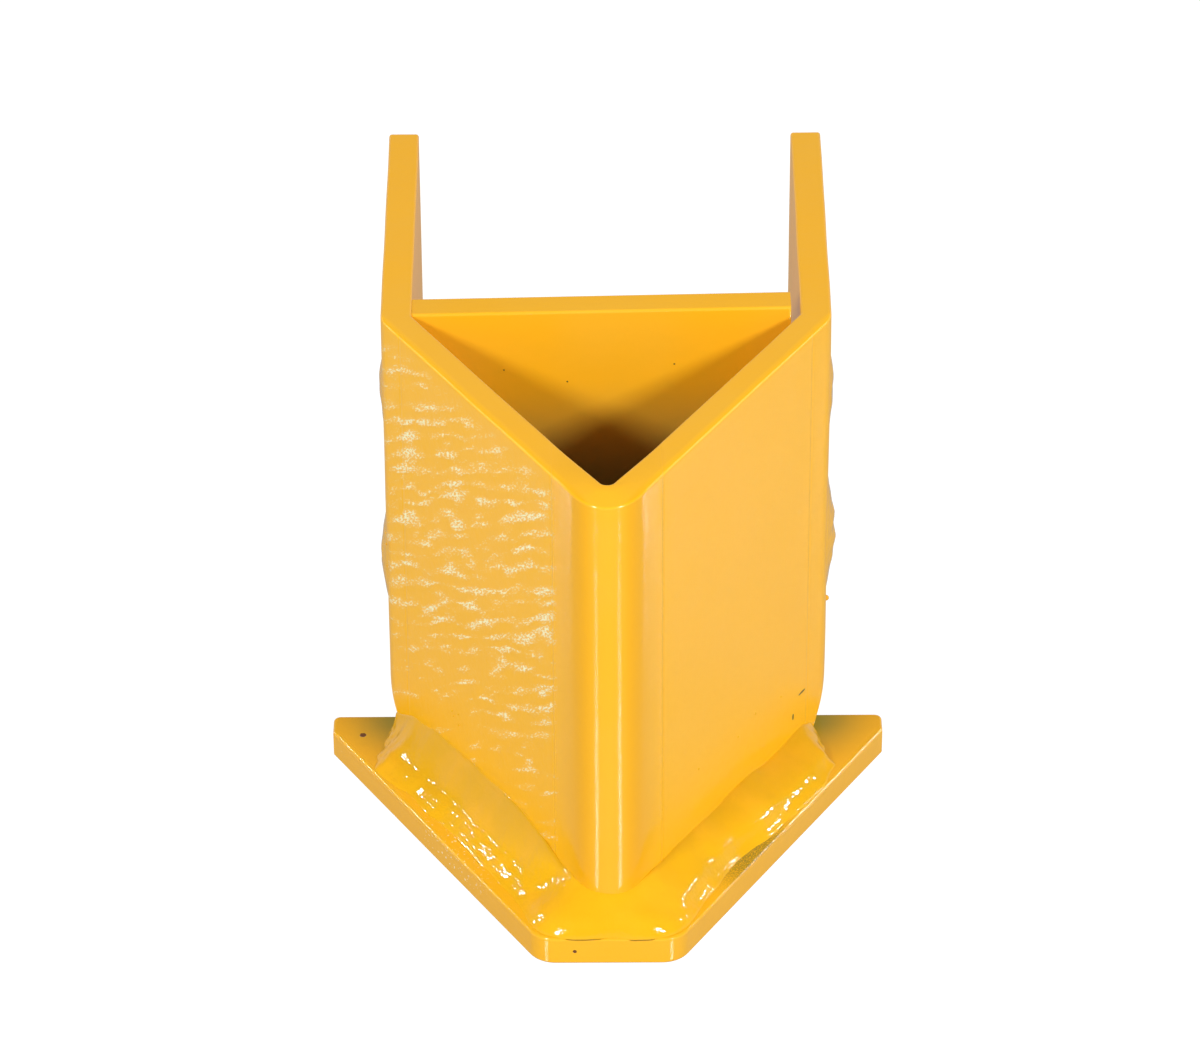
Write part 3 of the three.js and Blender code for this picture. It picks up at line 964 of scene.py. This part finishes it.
def softbox(name, azimuth, elevation, size, strength):
    """A square light that faces the guard. Azimuth 0 is in front of the nose, and grows to the right. A
    white surface that faces it is lit to `strength`."""
    data = bpy.data.lights.new(name, "AREA")
    data.shape = "SQUARE"
    data.size = size
    data.energy = strength * (math.pi * LIGHT_DISTANCE) ** 2
    lamp = bpy.data.objects.new(name, data)
    bpy.context.scene.collection.objects.link(lamp)
    across = math.radians(azimuth)
    above = math.radians(elevation)
    level = math.cos(above)
    direction = Vector((math.sin(across) * level, -math.cos(across) * level, math.sin(above)))
    lamp.location = direction * LIGHT_DISTANCE + Vector((0, 0, TOP / 2 * MM))
    lamp.rotation_euler = direction.to_track_quat("Z", "Y").to_euler()
    lamp.visible_camera = False


def walls():
    """White round the horizon and dim overhead."""
    world = bpy.data.worlds.new("studio")
    bpy.context.scene.world = world
    world.use_nodes = True
    tree = world.node_tree
    direction = add_node(tree, "ShaderNodeTexCoord").outputs["Generated"]
    height = add_node(tree, "ShaderNodeSeparateXYZ", {"Vector": direction}).outputs["Z"]
    inputs = {"Value": height, "From Min": 0.15, "From Max": 0.5, "To Min": 0.9, "To Max": 0.27}
    glow = add_node(tree, "ShaderNodeMapRange", inputs, interpolation_type="SMOOTHSTEP")
    tree.links.new(glow.outputs["Result"], tree.nodes["Background"].inputs["Strength"])
    tree.nodes["Background"].inputs["Color"].default_value = (1, 1, 1, 1)


def studio():
    """Two large lights in front, and two small ones behind that put highlights on the floor beads."""
    floor()
    walls()
    softbox("key_left", azimuth=-36, elevation=34, size=KEY_SIZE, strength=0.53)
    softbox("key_right", azimuth=36, elevation=34, size=KEY_SIZE, strength=0.61)
    softbox("rim_left", azimuth=-111, elevation=27, size=0.06, strength=0.11)
    softbox("rim_right", azimuth=111, elevation=27, size=0.07, strength=0.13)
    bpy.context.scene.view_settings.view_transform = "Standard"


# ---------------------------------------------------------------- the guard

camera()
studio()
nose_plate(nose_plate_paint())
back_plate(back_plate_paint())
base_plate(base_plate_paint())
base_weld(weld_paint("base_weld_paint", WELD_YELLOW))
small_weld_paint = weld_paint("small_weld_paint", PALE_YELLOW)
for measures in SLOT_WELDS:
    slot_weld(small_weld_paint, **measures)
spatter(small_weld_paint)
